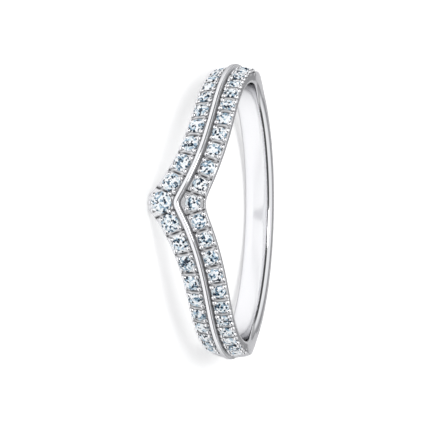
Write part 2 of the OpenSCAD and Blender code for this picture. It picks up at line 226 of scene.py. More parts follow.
@dataclass
class StoneRow:
    """A row of stones on one side of the rail, and the surface that they are seated in."""

    chevron: Chevron
    sizes: RowSizes
    angles: list[float] = field(init=False)
    seats: list[Seat] = field(init=False)

    def __post_init__(self) -> None:
        """Walks the stones along the row, then lays out their seats."""
        self.angles = self._walk()
        self.seats = [self._seat(k) for k in range(-self.sizes.count, self.sizes.count + 1)]

    @property
    def band(self) -> BandSizes:
        """The band's driving sizes."""
        return self.chevron.sizes

    @property
    def side(self) -> Side:
        """The side of the rail that the row lies on."""
        return self.sizes.side

    @property
    def tip_seat(self) -> Seat | None:
        """The seat at the ring's point, which only the outer row has."""
        return self.seats[self.sizes.count] if self.side is Side.OUTER else None

    @property
    def half_channel(self) -> float:
        """Distance from the rail's middle to the seats."""
        return self.band.rail_w / 2 + self.sizes.channel_w

    @property
    def row_soft(self) -> float:
        """Rounding of the row's own line, as an angle."""
        band, outer = self.band, self.side is Side.OUTER
        return band.point_round if outer else (band.point_round + band.valley_round) / 2

    @property
    def edge_soft(self) -> float:
        """Rounding of the side of the band beside the row, as an angle."""
        return self.band.point_round if self.side is Side.OUTER else self.band.valley_round

    @property
    def end(self) -> float:
        """Angle at which the row ends, half a gap beyond its last stone."""
        last = self.diameter(self.sizes.count) + self.sizes.gap
        return self.angles[-1] + last / 2 / self.band.degree

    def diameter(self, k: int) -> float:
        """Diameter of stone k of an arm, where 0 is the one in the middle."""
        far = mix(self.sizes.near_d, self.sizes.far_d, (k - 1) / (self.sizes.count - 1))
        return self.sizes.first_d if k == 0 else far

    def gap_after(self, k: int) -> float:
        """Space between stone k of an arm and the next."""
        return self.sizes.first_gap if k == 0 else self.sizes.gap

    def centre_z(self, angle: Array, diameter: float) -> Array:
        """Place on the finger's axis of a stone of that diameter."""
        off = self.half_channel + self.band.seat_rim + diameter / 2
        return self.chevron.beside(self.side, angle, self.row_soft, off)

    def _place(self, angle: float, diameter: float) -> Vector:
        """A stone's middle on the cylinder of the seats, by its angle and diameter."""
        turn, far, height = radians(angle), self.band.seat_r, self.centre_z(angle, diameter)
        return Vector((far * cos(turn), far * sin(turn), height))

    def _walk(self, rounds: int = 8) -> list[float]:
        """Angles of one arm's stones, each as far from the last as its size asks.

        Args:
            rounds: times that a stone's angle is corrected.

        Returns:
            The angles, the middle stone's first.
        """
        angles = [0.0]
        for k in range(self.sizes.count):
            here, there = self.diameter(k), self.diameter(k + 1)
            want = (here + there) / 2 + self.gap_after(k)
            step = there / self.band.degree
            for _ in range(rounds):
                far = self._place(angles[-1] + step, there) - self._place(angles[-1], here)
                step *= want / far.length
            angles.append(angles[-1] + step)
        return angles

    def _flat(self, k: int) -> Vector:
        """A stone's middle on the unrolled band, where k is below 0 on the left arm."""
        angle = copysign(self.angles[abs(k)], k)
        return Vector((angle * self.band.degree, self.centre_z(angle, self.diameter(abs(k)))))

    def _seat(self, k: int) -> Seat:
        """Lays out the seat of stone k, where k is below 0 on the left arm."""
        last = self.sizes.count
        flat = self._flat(k)
        run = (self._flat(min(last, k + 1)) - self._flat(max(-last, k - 1))).normalized()
        angle = flat.x / self.band.degree
        turn, lie = radians(angle), radians(self.sizes.slope)
        sign = self.side.value
        along = Vector((-run.x * sin(turn), run.x * cos(turn), run.y))
        off = sign * Vector((run.y * sin(turn), -run.y * cos(turn), run.x))
        out = Vector((cos(turn), sin(turn), 0.0))
        up = cos(lie) * out + sin(lie) * off
        reach = float(self.surface(angle, flat.y))
        middle = Vector((reach * out.x, reach * out.y, flat.y))
        across = sign * up.cross(along)
        return Seat(self.diameter(abs(k)), middle, along, up, across, flat, run)

    def surface(self, angle: Array, height: Array) -> Array:
        """Radius of the seats' plain surface, which falls from the rail to the side.

        Args:
            angle: angles from the point.
            height: places on the axis.

        Returns:
            The radii.
        """
        band = self.band
        off = np.abs(height - self.chevron.law(angle, band.point_round))
        off = off * np.cos(self.chevron.lean(angle, band.point_round))
        return band.seat_r - tan(radians(self.sizes.slope)) * (off - self.half_channel)

    def channel_z(self, angle: Array) -> Array:
        """Place on the axis of the line where the seats begin."""
        return self.chevron.beside(self.side, angle, self.band.point_round, self.half_channel)

    def _local_d(self, angle: Array) -> Array:
        """Diameter of the stones near an angle."""
        share = (np.abs(angle) - self.angles[1]) / (self.angles[-1] - self.angles[1])
        return mix(self.sizes.near_d, self.sizes.far_d, np.clip(share, 0.0, 1.0))

    def _row_edge(self, angle: Array) -> Array:
        """Place on the axis of the row's outer edge, a stone and its rims from the channel."""
        sizes, band = self.sizes, self.band
        reach = (sizes.first_d + sizes.first_gap) / 2 / band.degree
        swell = (sizes.first_d - sizes.near_d) * np.exp(-np.square(angle / reach))
        rim = mix(sizes.first_rim, sizes.edge_rim,
                  np.minimum(1.0, np.abs(angle) / band.chevron_reach))
        wide = self.half_channel + band.seat_rim + self._local_d(angle) + swell + rim
        return self.chevron.beside(self.side, angle, self.edge_soft, wide)

    def edge_z(self, angle: Array, shank_part: Array) -> Array:
        """Place on the axis of the side of the band.

        Args:
            angle: angles from the point.
            shank_part: how far the band is plain shank at each, from 0 to 1.

        Returns:
            The places, in millimetres.
        """
        row = self._row_edge(angle)
        if self.side is Side.OUTER:
            row = np.maximum(row, self._row_edge(0.0))
        return mix(row, self.side.value * self.band.shank_w / 2, shank_part)

    def cuts(self) -> list[Cut]:
        """Lays out the row's cuts, one between each two stones and one beyond each end."""
        found = []
        for before, after in zip(self.seats, self.seats[1:]):
            way = after.flat - before.flat
            run = way.normalized()
            free = way.length - (before.diameter + after.diameter) / 2
            found.append(Cut(before.flat + run * (before.diameter + free) / 2, run,
                             min(before.diameter, after.diameter) / 2))
        for seat, sign in ((self.seats[0], -1), (self.seats[-1], 1)):
            off = (seat.diameter + self.sizes.gap) / 2
            found.append(Cut(seat.flat + sign * seat.run * off, seat.run, seat.diameter / 2))
        return found

    def _groove(self, cut: Cut, round_x: Array, height: Array) -> Array:
        """How deep one cut is at each place, as a share: shallower beside the beads.

        Args:
            cut: the cut.
            round_x: places round the unrolled band, in millimetres.
            height: places on the axis.

        Returns:
            The shares, from 0 to 1.
        """
        along = (round_x - cut.middle.x) * cut.run.x + (height - cut.middle.y) * cut.run.y
        off = np.abs((round_x - cut.middle.x) * cut.run.y - (height - cut.middle.y) * cut.run.x)
        sizes = self.sizes
        between = np.exp(-np.power(off / (sizes.tick * cut.half), 4))
        ends = smooth((off - sizes.bead_end * cut.half) / (sizes.end_soft * cut.half))
        opened = mix(sizes.bead_cut, 1.0, np.maximum(between, ends))
        return np.exp(-np.square(2 * along / sizes.cut_w)) * opened * (off < REACH)

    def _worked(self, angle: Array, height: Array, plain: float, cut_deep: float,
                pocket: Callable[[float, Array], Array]) -> Array:
        """The most that the cuts and the pockets do at each place.

        Args:
            angle: angles from the point.
            height: places on the axis.
            plain: what holds where there is neither.
            cut_deep: what holds in the middle of a cut.
            pocket: what a pocket does, from its stone's radius and the distance to its middle.

        Returns:
            The greatest value at each place.
        """
        round_x = angle * self.band.degree
        most = np.full(np.broadcast(angle, height).shape, plain)
        for cut in self.cuts():
            most = np.maximum(most, cut_deep * self._groove(cut, round_x, height))
        for seat in self.seats:
            far = np.hypot(round_x - seat.flat.x, height - seat.flat.y)
            most = np.maximum(most, pocket(seat.diameter / 2, far))
        return most

    def sunk(self, angle: Array, height: Array) -> Array:
        """Depth of the cuts and the pockets below the seats' plain surface."""
        return self._worked(angle, height, 0.0, self.sizes.cut_deep,
                            lambda half, far: PAVILION_SLOPE * (half - POCKET_IN - far))

    def shade(self, angle: Array, height: Array) -> Array:
        """Painted shade in the cuts and the pockets, over a faint tone on the plates; 0 is bright
        metal.
        """
        return self._worked(angle, height, self.sizes.plate_shade, 1.0, self._pocket_shade)

    def _pocket_shade(self, half: float, far: Array) -> Array:
        """Painted shade in a pocket and round its rim."""
        rim = smooth((half + self.sizes.pocket_rim - far) / self.sizes.pocket_soft)
        return self.sizes.pocket_shade * rim


@dataclass(frozen=True)
class Rest:
    """How the ring lies on the floor: on the point's lower side and the back of the shank."""

    outer: StoneRow
    first_tip: float = 8.0
    rounds: int = 12

    def _low(self, front: bool) -> list[tuple[float, float]]:
        """Lowest places of the point or of the shank's back, from the axis and along it."""
        band = self.outer.band
        edge = float(self.outer.edge_z(*((0.0, 0.0) if front else (180.0, 1.0))))
        if front:
            seat = float(self.outer.surface(0.0, edge))
            return [(band.round_r, edge), (seat, edge)]
        return [(-band.round_r, edge), (band.outer_round - band.rail_r, edge)]

    def _depth(self, front: bool, tip: float) -> float:
        """Height of the lowest of those places when the ring is tipped."""
        turn = radians(tip)
        return min(x * sin(turn) + z * cos(turn) for x, z in self._low(front))

    def tip(self) -> float:
        """Finds how far the axis leans back, in degrees, once both ends touch the floor."""
        tip = self.first_tip
        for _ in range(self.rounds):
            step = (self._depth(False, tip) - self._depth(True, tip)) / 2
            tip += degrees(asin(step / self.outer.band.rail_r))
        return tip

    def matrix(self) -> Matrix:
        """Lays the ring down: takes places about its axis, in millimetres, into the scene."""
        band, tip = self.outer.band, self.tip()
        turn, rail = radians(tip), band.rail_w / 2
        front = band.rail_r * cos(turn)
        point = float(self.outer.chevron.law(0.0, band.point_round))
        front -= (point + rail) * sin(turn)
        back = -band.rail_r * cos(turn) - rail * sin(turn)
        place = Matrix.Translation((0.0, (front + back) / 2, -self._depth(True, tip)))
        lie = Matrix.Rotation(radians(-90.0), 4, "Z") @ Matrix.Rotation(-turn, 4, "Y")
        return Matrix.Scale(MM, 4) @ place @ lie


def placed(name: str, data: ID) -> Object:
    """Makes an object of a mesh, a camera or a light, and puts it in the scene."""
    made = bpy.data.objects.new(name, data)
    bpy.context.scene.collection.objects.link(made)
    return made


def attach(piece: Object, name: str, domain: str, values: Sequence[float]) -> None:
    """Keeps a number for each point or face of a piece, which its finish reads."""
    layer = piece.data.attributes.new(name, "FLOAT", domain)
    layer.data.foreach_set("value", np.array(values, dtype=np.float32))


class Dressed:
    """A sub-assembly whose objects get a finish and stand for a node."""

    def dress(self, piece: Object, finish: Material, slot: str, node: str) -> None:
        """Gives a piece its finish and lets it stand for its node.

        Args:
            piece: the piece.
            finish: its material.
            slot: the record's material slot; not used.
            node: the node that it replaces.
        """
        piece.data.materials.append(finish)
        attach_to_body(piece, "root")
        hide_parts(node)
        log.info("%s: %d faces", piece.name, len(piece.data.polygons))


@dataclass
class MeshParts:
    """Points and faces of one piece, gathered from its parts before the mesh is made."""

    points: list[Array] = field(default_factory=list)
    faces: list[tuple[int, ...]] = field(default_factory=list)
    marks: list[float] = field(default_factory=list)
    count: int = 0

    def add(self, points: Array, faces: Sequence[Sequence[int]],
            marks: Sequence[float] = ()) -> None:
        """Adds a part.

        Args:
            points: its points, a row each.
            faces: its faces, as numbers of those points.
            marks: a value for each point, where the piece has any.
        """
        self.points.append(points)
        self.faces.extend(tuple(self.count + int(i) for i in face) for face in faces)
        self.marks.extend(marks)
        self.count += len(points)

    def build(self, name: str, matrix: Matrix) -> Object:
        """Makes the object.

        Args:
            name: the piece's name.
            matrix: takes the points into the scene.

        Returns:
            The new object, in the scene's collection.
        """
        turn = np.array(matrix)
        flat = np.concatenate(self.points) @ turn[:3, :3].T + turn[:3, 3]
        mesh = bpy.data.meshes.new(name)
        mesh.from_pydata(flat.tolist(), [], self.faces)
        whole = bmesh.new()
        whole.from_mesh(mesh)
        bmesh.ops.recalc_face_normals(whole, faces=whole.faces)
        whole.to_mesh(mesh)
        whole.free()
        return placed(name, mesh)


@dataclass(frozen=True)
class BeadSizes:
    """Sizes of the bead prongs, in millimetres and degrees.

    A bead's middle is beyond the stone's edge, and it may stand past the band's side. Its
    root is the depth of its lower half, as a share of the upper one. Its painted shade,
    darker towards its foot, runs from 0 to 1 between two angles from its top.
    """

    long_r: float = 0.21
    cross_r: float = 0.175
    rise: float = 0.2
    sink: float = 0.02
    root: float = 0.4
    beyond: float = 0.09
    past: float = 0.07
    swings: tuple[float, ...] = (50.0, 130.0, -45.0, -135.0)
    tip_swing: float = 90.0
    turns: int = 10
    rings: int = 6
    shade_from: float = 60.0
    shade_to: float = 100.0


@dataclass
class CastBand(Dressed):
    """The band: shank, rail, channels, seats with their cuts and pockets, and bead prongs.

    Lengths are millimetres, reaches, steps and turns degrees, and painted shades run from 0 to 1.
    """

    chevron: Chevron
    rows: dict[Side, StoneRow]
    beads: BeadSizes = BeadSizes()
    front_reach: float = 92.0
    front_step: float = 0.24
    back_step: float = 1.5
    seat_lines: int = 26
    round_lines: int = 6
    bore_lines: int = 3
    rail_lines: int = 7
    rail_round: float = 0.11
    rail_flank: float = 0.075
    rail_fall: float = 0.055
    rail_crown: float = 0.015
    rail_feet: tuple[float, ...] = (0.01, 0.025, 0.065)
    rail_wall_step: float = 0.3
    shank_start: float = 0.05
    row_corner: float = 0.035
    shank_corner: float = 0.09
    shank_power: float = 2.9
    corner_turns: tuple[float, float] = (35.0, 90.0)
    sharp: float = 40.0
    # Painted shade, which also dulls the metal, on the rail's wall, the channel floor and the cut
    # ends
    wall_shade: float = 0.1
    cut_end_shade: float = 1.0
    channel_shade: float = 0.2

    def stations(self) -> Array:
        """Angles of the sections in a column, close at the stones and wider round the shank."""
        front = np.arange(-self.front_reach, self.front_reach, self.front_step)
        back = np.arange(self.front_reach + self.back_step, 360.0 - self.front_reach,
                         self.back_step)
        return np.concatenate([front, np.where(back > 180.0, back - 360.0, back)])[:, None]

    def shank_part(self, angle: Array) -> Array:
        """How far the band is plain shank at an angle."""
        end = max(row.end for row in self.rows.values())
        return smooth((np.abs(angle) - end) / self.chevron.sizes.shoulder_fade)

    def _rail(self, side: Side, angle: Array, rise: Array) -> tuple[Array, Array]:
        """Lines of the rail, from its middle to its foot in the channel.

        Args:
            side: the side of the rail.
            angle: angles of the sections.
            rise: how far the channel has filled at each, from 0 to 1.

        Returns:
            Radii and places on the axis.
        """
        band = self.chevron.sizes
        half = band.rail_w / 2
        bend = np.radians(np.linspace(0.0, 90.0, self.rail_lines))
        offs = half - self.rail_flank + self.rail_round * np.sin(bend)
        tops = band.rail_r - self.rail_crown - self.rail_fall * (1.0 - np.cos(bend))
        foot = mix(band.seat_r - band.channel_deep, band.rail_r - self.rail_crown, rise)
        foot_at = half - self.rail_flank + self.rail_round
        offs = np.concatenate([offs, foot_at + np.array(self.rail_feet)])[None, :]
        top = tops[None, :] + 0 * angle
        low = np.hstack([top, mix(foot, tops[-1], self.rail_wall_step), foot, foot])
        low = mix(low, band.rail_r - self.rail_crown * (offs / half), rise)
        return low, self.chevron.beside(side, angle, band.point_round, offs)

    def _seats(self, side: Side, angle: Array, shank: Array,
               rise: Array) -> tuple[Array, Array, Array]:
        """Lines across a row, from channel to side.

        Args:
            side: the row's side.
            angle: angles of the sections.
            shank: how far the band is plain shank at each.
            rise: how far the seats have filled at each.

        Returns:
            Radii, places on the axis and painted shades.
        """
        band, row = self.chevron.sizes, self.rows[side]
        share = np.linspace(0.0, 1.0, self.seat_lines)[None, :]
        edge = row.edge_z(angle, shank)
        near = mix(row.channel_z(angle), side.value * (band.rail_w / 2 + self.shank_start), shank)
        height = mix(near, edge, share)
        depth = row.sunk(angle, height) * (1.0 - rise)
        plain = row.surface(angle, height)
        across = np.clip(np.abs(height / edge), 0.0, 1.0)
        shank_r = band.rail_r - band.outer_round * np.power(across, self.shank_power)
        return mix(plain, shank_r, rise) - depth, height, row.shade(angle, height) * (1.0 - rise)

    def _side(self, side: Side, angle: Array, shank: Array,
              edge_r: Array) -> tuple[Array, Array]:
        """Lines down the side and round into the bore.

        Args:
            side: which side.
            angle: angles of the sections.
            shank: how far the band is plain shank at each.
            edge_r: radii where the side begins.

        Returns:
            Radii and places on the axis.
        """
        band, sign = self.chevron.sizes, side.value
        edge = self.rows[side].edge_z(angle, shank)
        turn = np.radians(np.array([self.corner_turns]))
        corner = mix(self.row_corner, self.shank_corner, shank)
        radius = edge_r - corner * (1.0 - np.cos(turn))
        height = edge - sign * corner * (1.0 - np.sin(turn))
        wall = mix(edge_r - corner, band.round_r, 0.5)
        bend = np.radians(np.linspace(0.0, 90.0, self.round_lines))[None, :]
        into = band.round_r - band.inner_round * np.sin(bend) + 0 * angle
        radius = np.hstack([radius, wall, into])
        height = np.hstack([height, edge, edge - sign * band.inner_round * (1.0 - np.cos(bend))])
        return radius, height

    def _half(self, side: Side, angle: Array) -> tuple[Array, Array, Array]:
        """Lines of one side, rail's middle to bore: radii, places and painted shades."""
        shank = self.shank_part(angle)
        rise = smooth((np.abs(angle) - self.rows[side].end) / self.chevron.sizes.end_rise)
        rail_r, rail_z = self._rail(side, angle, rise)
        seat_r, seat_z, shade = self._seats(side, angle, shank, rise)
        corner = mix(self.row_corner, self.shank_corner, shank)
        seat_z[:, -1:] -= side.value * corner
        side_r, side_z = self._side(side, angle, shank, seat_r[:, -1:])
        radius = np.hstack([rail_r, seat_r, side_r])
        height = np.hstack([rail_z, seat_z, side_z])
        # Painted shade on the channel floor and the rail's wall, darker where a cut reaches the
        # channel
        floor = self.channel_shade * (1.0 - rise)
        wall = self.wall_shade * (1.0 - rise)
        floor = np.maximum(floor, self.cut_end_shade * shade[:, :1])
        bright = 0 * rail_z[:, :self.rail_lines - 1]
        rail_shade = np.hstack([bright, wall, wall, floor, floor])
        return radius, height, np.hstack([rail_shade, shade, 0 * side_z])

    def _loft(self, parts: MeshParts) -> None:
        """Adds the closed skin that runs round the finger to the band's parts."""
        angle = self.stations()
        in_r, in_z, in_mark = self._half(Side.INNER, angle)
        out_r, out_z, out_mark = self._half(Side.OUTER, angle)
        share = np.linspace(0.0, 1.0, self.bore_lines + 2)[None, 1:-1]
        bore_z = mix(in_z[:, -1:], out_z[:, -1:], share)
        bore_r = self.chevron.sizes.finger_r + 0 * bore_z
        radius = np.hstack([in_r, bore_r, out_r[:, ::-1]])
        height = np.hstack([in_z, bore_z, out_z[:, ::-1]])
        mark = np.hstack([in_mark, 0 * bore_z, out_mark[:, ::-1]])
        turn = np.radians(angle)
        points = np.stack([radius * np.cos(turn), radius * np.sin(turn), height], axis=2)
        rows, lines = radius.shape
        number = np.arange(rows * lines).reshape(rows, lines)
        ahead, beside = np.roll(number, -1, axis=0), np.roll(number, -1, axis=1)
        both = np.roll(ahead, -1, axis=1)
        faces = np.stack([number, beside, both, ahead], axis=2).reshape(-1, 4)
        parts.add(points.reshape(-1, 3), faces, mark.reshape(-1))

    def _bead(self, seat: Seat, side: Side, swing: float) -> tuple[Array, list]:
        """One bead prong: a long dome beside a stone and pointing at it.

        Args:
            seat: the stone's seat.
            side: the row's side.
            swing: its direction from the row's run, in degrees, over 0 towards the side.

        Returns:
            Its points and faces.
        """
        sizes = self.beads
        turn = radians(swing)
        out = cos(turn) * seat.along + sin(turn) * seat.across
        cross = seat.up.cross(out)
        middle = seat.middle + out * (seat.diameter / 2 + sizes.beyond) - seat.up * sizes.sink
        if swing > 0:
            angle = degrees(atan2(middle.y, middle.x))
            edge = float(self.rows[side].edge_z(angle, 0.0))
            past = side.value * (middle.z - edge) + sizes.cross_r - sizes.past
            middle -= max(0.0, past) * seat.across
        high = sizes.rise + sizes.sink
        points, faces = [middle + seat.up * high], []
        for ring in range(1, sizes.rings):
            dip = pi * ring / sizes.rings
            for k in range(sizes.turns):
                turn = tau * k / sizes.turns
                level = cos(dip) * (1.0 if dip < pi / 2 else sizes.root)
                points.append(middle + sin(dip) * (
                    cos(turn) * sizes.long_r * out + sin(turn) * sizes.cross_r * cross)
                    + level * high * seat.up)
        points.append(middle - seat.up * sizes.root * high)
        last, turns = len(points) - 1, sizes.turns
        for k in range(turns):
            m = (k + 1) % turns
            faces.append((0, 1 + k, 1 + m))
            faces.append((last, last - turns + m, last - turns + k))
            for ring in range(sizes.rings - 2):
                a = 1 + ring * turns
                faces.append((a + k, a + turns + k, a + turns + m, a + m))
        return np.array([tuple(p) for p in points]), faces

    def _bead_shade(self) -> Array:
        """Painted shade of each of a bead's points, darker towards its foot."""
        sizes = self.beads
        dips = np.arange(1, sizes.rings).repeat(sizes.turns) * 180.0 / sizes.rings
        dips = np.concatenate([[0.0], dips, [180.0]])
        return smooth((dips - sizes.shade_from) / (sizes.shade_to - sizes.shade_from))

    def build(self, matrix: Matrix) -> Object:
        """Makes the band with its beads, where matrix takes its own places into the scene."""
        parts, shade = MeshParts(), self._bead_shade()
        self._loft(parts)
        for side, row in self.rows.items():
            for seat in row.seats:
                extra = (self.beads.tip_swing,) if seat is row.tip_seat else ()
                for swing in self.beads.swings + extra:
                    parts.add(*self._bead(seat, side, swing), shade)
        band = parts.build("cast_band", matrix)
        # The shade attribute carries the painted shade to the metal's finish
        attach(band, "shade", "POINT", parts.marks)
        band.data.polygons.foreach_set("use_smooth", [True] * len(band.data.polygons))
        band.data.set_sharp_from_angle(angle=radians(self.sharp))
        return band


@dataclass(frozen=True)
class CutSizes:
    """Proportions of a round brilliant, as shares of its diameter."""

    girdle: float = 0.03
    crown: float = 0.14
    table: float = 0.57
    pavilion: float = 0.43
    sides: int = 16
    heart_sides: int = 8
    crown_rings: tuple[float, ...] = (0.43, 0.36)
    table_rings: tuple[float, ...] = (0.285, 0.2, 0.12)
    heart_ring: float = 0.06
    heart_turn: float = 0.25
    belly: float = 0.25
    spread: float = 1.07


@dataclass
class Brilliant(Dressed):
    """One round stone, whose crown is divided into patches for painted reflections and sparkle."""

    name: str
    seat: Seat
    lift: float
    seed: int
    cut: CutSizes = CutSizes()

    def _ring(self, sides: int, offset: float, radius: float, height: float) -> Array:
        """Points of a level ring of a stone of diameter 1, turned by a share of a side."""
        turn = tau * (np.arange(sides) + offset) / sides
        return np.stack([radius * np.cos(turn), radius * np.sin(turn), 0 * turn + height], axis=1)

    def _crown_height(self, radius: float) -> float:
        """Height of the crown at a distance from the stone's middle."""
        share = (0.5 - radius) / (0.5 - self.cut.table / 2)
        return self.cut.girdle + self.cut.crown * min(1.0, share)

    def _rings(self) -> list[Array]:
        """Points of the rings, from the one over the culet up to the table's heart."""
        cut = self.cut
        rings = [self._ring(cut.sides, 0.5, cut.belly / 2, -cut.pavilion * (1 - cut.belly)),
                 self._ring(cut.sides, 0.0, 0.5, 0.0),
                 self._ring(cut.sides, 0.0, 0.5, cut.girdle)]
        offset = 0.5
        for radius in cut.crown_rings + cut.table_rings:
            rings.append(self._ring(cut.sides, offset, radius, self._crown_height(radius)))
            offset = 0.5 - offset
        rings.append(self._ring(cut.heart_sides, cut.heart_turn, cut.heart_ring,
                                cut.girdle + cut.crown))
        return rings

    def _between(self, low: Array, high: Array, low_at: int, high_at: int) -> list[tuple]:
        """Joins two rings, which may differ in their number of points.

        Args:
            low: the lower ring.
            high: the upper ring.
            low_at: number of the lower ring's first point.
            high_at: number of the upper ring's first point.

        Returns:
            The triangles.
        """
        faces = []
        i = j = 0
        n, m = len(low), len(high)
        turn_low = np.unwrap(np.arctan2(low[:, 1], low[:, 0]))
        turn_high = np.unwrap(np.arctan2(high[:, 1], high[:, 0]))
        while i < n or j < m:
            next_low = turn_low[i % n] + tau * (i // n) + tau / n
            next_high = turn_high[j % m] + tau * (j // m) + tau / m
            a, b = low_at + i % n, high_at + j % m
            if j >= m or (i < n and next_low <= next_high):
                faces.append((a, low_at + (i + 1) % n, b))
                i += 1
            else:
                faces.append((a, high_at + (j + 1) % m, b))
                j += 1
        return faces

    def build(self, matrix: Matrix) -> Object:
        """Makes the stone.

        Args:
            matrix: takes the ring's own places into the scene.

        Returns:
            The stone's object, with a painted sparkle value on its faces.
        """
        rings, cut, seat = self._rings(), self.cut, self.seat
        starts = np.cumsum([0] + [len(ring) for ring in rings]).tolist()
        ends = [[0.0, 0.0, cut.girdle + cut.crown], [0.0, 0.0, -cut.pavilion]]
        unit = np.concatenate(rings + [np.array(ends)])
        top, culet = len(unit) - 2, len(unit) - 1
        faces: list[tuple] = []
        for k in range(len(rings) - 1):
            faces += self._between(rings[k], rings[k + 1], starts[k], starts[k + 1])
        heart = starts[-2]
        faces += [(heart + k, heart + (k + 1) % cut.heart_sides, top)
                  for k in range(cut.heart_sides)]
        faces += [((k + 1) % cut.sides, k, culet) for k in range(cut.sides)]
        axes = np.array([tuple(seat.along), tuple(seat.up.cross(seat.along)), tuple(seat.up)])
        origin = np.array(tuple(seat.middle + seat.up * self.lift))
        parts = MeshParts()
        parts.add(origin + cut.spread * seat.diameter * unit @ axes, faces)
        stone = parts.build(self.name, matrix)
        count = len(stone.data.polygons)
        # A random painted sparkle value for each pair of faces, which picks its painted reflection
        # colour
        painted_sparkle = np.random.default_rng(self.seed).random(count // 2 + 1).repeat(2)[:count]
        attach(stone, "painted_sparkle", "FACE", painted_sparkle)
        return stone


@dataclass(frozen=True)
class Signal:
    """A node's output socket, with arithmetic that adds Math nodes."""

    graph: Graph
    node: Node
    name: str | int = 0

    @property
    def socket(self) -> NodeSocket:
        """The socket itself."""
        return self.node.outputs[self.name]

    def out(self, name: str | int) -> Signal:
        """Another of the node's outputs."""
        return Signal(self.graph, self.node, name)

    def _math(self, operation: str, first: Signal | float, second: Signal | float) -> Signal:
        """Adds a Math node on two values."""
        return self.graph.add("Math", {0: first, 1: second}, operation=operation)

    def __add__(self, other: Signal | float) -> Signal:
        """The sum."""
        return self._math("ADD", self, other)

    def __radd__(self, other: float) -> Signal:
        """The sum, with a number first."""
        return self._math("ADD", other, self)

    def __rsub__(self, other: float) -> Signal:
        """The difference of a number and this."""
        return self._math("SUBTRACT", other, self)

    def __mul__(self, other: Signal | float) -> Signal:
        """The product."""
        return self._math("MULTIPLY", self, other)

    def __rmul__(self, other: float) -> Signal:
        """The product, with a number first."""
        return self._math("MULTIPLY", other, self)


class Graph:
    """The nodes of one material or of the world."""

    def __init__(self, tree: NodeTree) -> None:
        """Takes a tree and empties it."""
        self.tree = tree
        tree.nodes.clear()

    def add(self, kind: str, inputs: dict[str | int, object] | None = None,
            **settings: object) -> Signal:
        """Adds a node.

        Args:
            kind: the node's type, without ShaderNode.
            inputs: values or signals for its sockets, by name or number.
            settings: its own settings, which are set first; stops are a ramp's stops.

        Returns:
            The new node's first output.
        """
        node = self.tree.nodes.new("ShaderNode" + kind)
        for name, value in settings.items():
            if name == "stops":
                self._ramp(node, value)
            else:
                setattr(node, name, value)
        for name, value in (inputs or {}).items():
            if isinstance(value, Signal):
                self.tree.links.new(value.socket, node.inputs[name])
            else:
                node.inputs[name].default_value = value
        return Signal(self, node)

    def ease(self, value: Signal, low: float, high: float) -> Signal:
        """A signal that eases from 0 to 1 as a value goes from low to high."""
        return self.add("MapRange", {"Value": value, "From Min": low, "From Max": high},
                        interpolation_type="SMOOTHSTEP")

    @staticmethod
    def _ramp(node: Node, stops: Sequence[tuple[float, tuple]]) -> None:
        """Sets a colour ramp by its stops, each a place and a colour."""
        ramp = node.color_ramp
        for place, (position, colour) in enumerate(stops):
            if place > 1:
                ramp.elements.new(position)
            ramp.elements[place].position = position
            ramp.elements[place].color = (*colour, 1.0)


def plain_material(name: str) -> tuple[Material, Graph]:
    """Makes a material of that name with no nodes yet, and its graph."""
    made = bpy.data.materials.new(name)
    made.use_nodes = True
    return made, Graph(made.node_tree)


@dataclass(frozen=True)
class WhiteGold:
    """Polished white metal with painted shade, darker and duller in cuts and channels; sizes in
    metres.
    """

    name: str = "polished_white_gold"
    bright: Triple = (0.85, 0.85, 0.865)
    # Colour of the painted shade, towards which the shade attribute darkens the metal
    dark: Triple = (0.02, 0.02, 0.025)
    grazing: Triple = (0.5, 0.5, 0.51)
    roughness: float = 0.08
    deep_roughness: float = 0.45
    dulling: float = 0.8
    matte_from: float = 0.2
    scratch_scale: float = 2600.0
    scratch_depth: float = 0.03
    scratch_height: float = 0.00002
    scratch_detail: float = 3.0
    grain: float = 0.04

    def material(self) -> Material:
        """Makes the material."""
        made, graph = plain_material(self.name)
        # The shade attribute is painted shade in cuts, pockets, channels and at the beads' feet; it
        # darkens and dulls the metal
        deep = graph.add("Attribute", attribute_name="shade").out("Fac")
        where = graph.add("TexCoord").out("Object")
        grain = graph.add("TexNoise", {"Vector": where, "Scale": self.scratch_scale,
                                       "Detail": self.scratch_detail})
        tint = graph.add("Mix", {"Factor": deep, 6: (*self.bright, 1.0), 7: (*self.dark, 1.0)},
                         data_type="RGBA").out(2)
        matte = graph.ease(deep, 0.0, self.matte_from)
        rough = self.roughness + self.grain * grain + (self.deep_roughness - self.roughness) * matte
        polish = 1.0 - self.dulling * matte
        bump = graph.add("Bump", {"Strength": self.scratch_depth, "Distance": self.scratch_height,
                                  "Height": grain})
        shader = graph.add("BsdfPrincipled",
                           {"Base Color": tint, "Metallic": polish, "Roughness": rough,
                            "Specular Tint": (*self.grazing, 1.0), "Normal": bump})
        graph.add("OutputMaterial", {"Surface": shader})
        return made


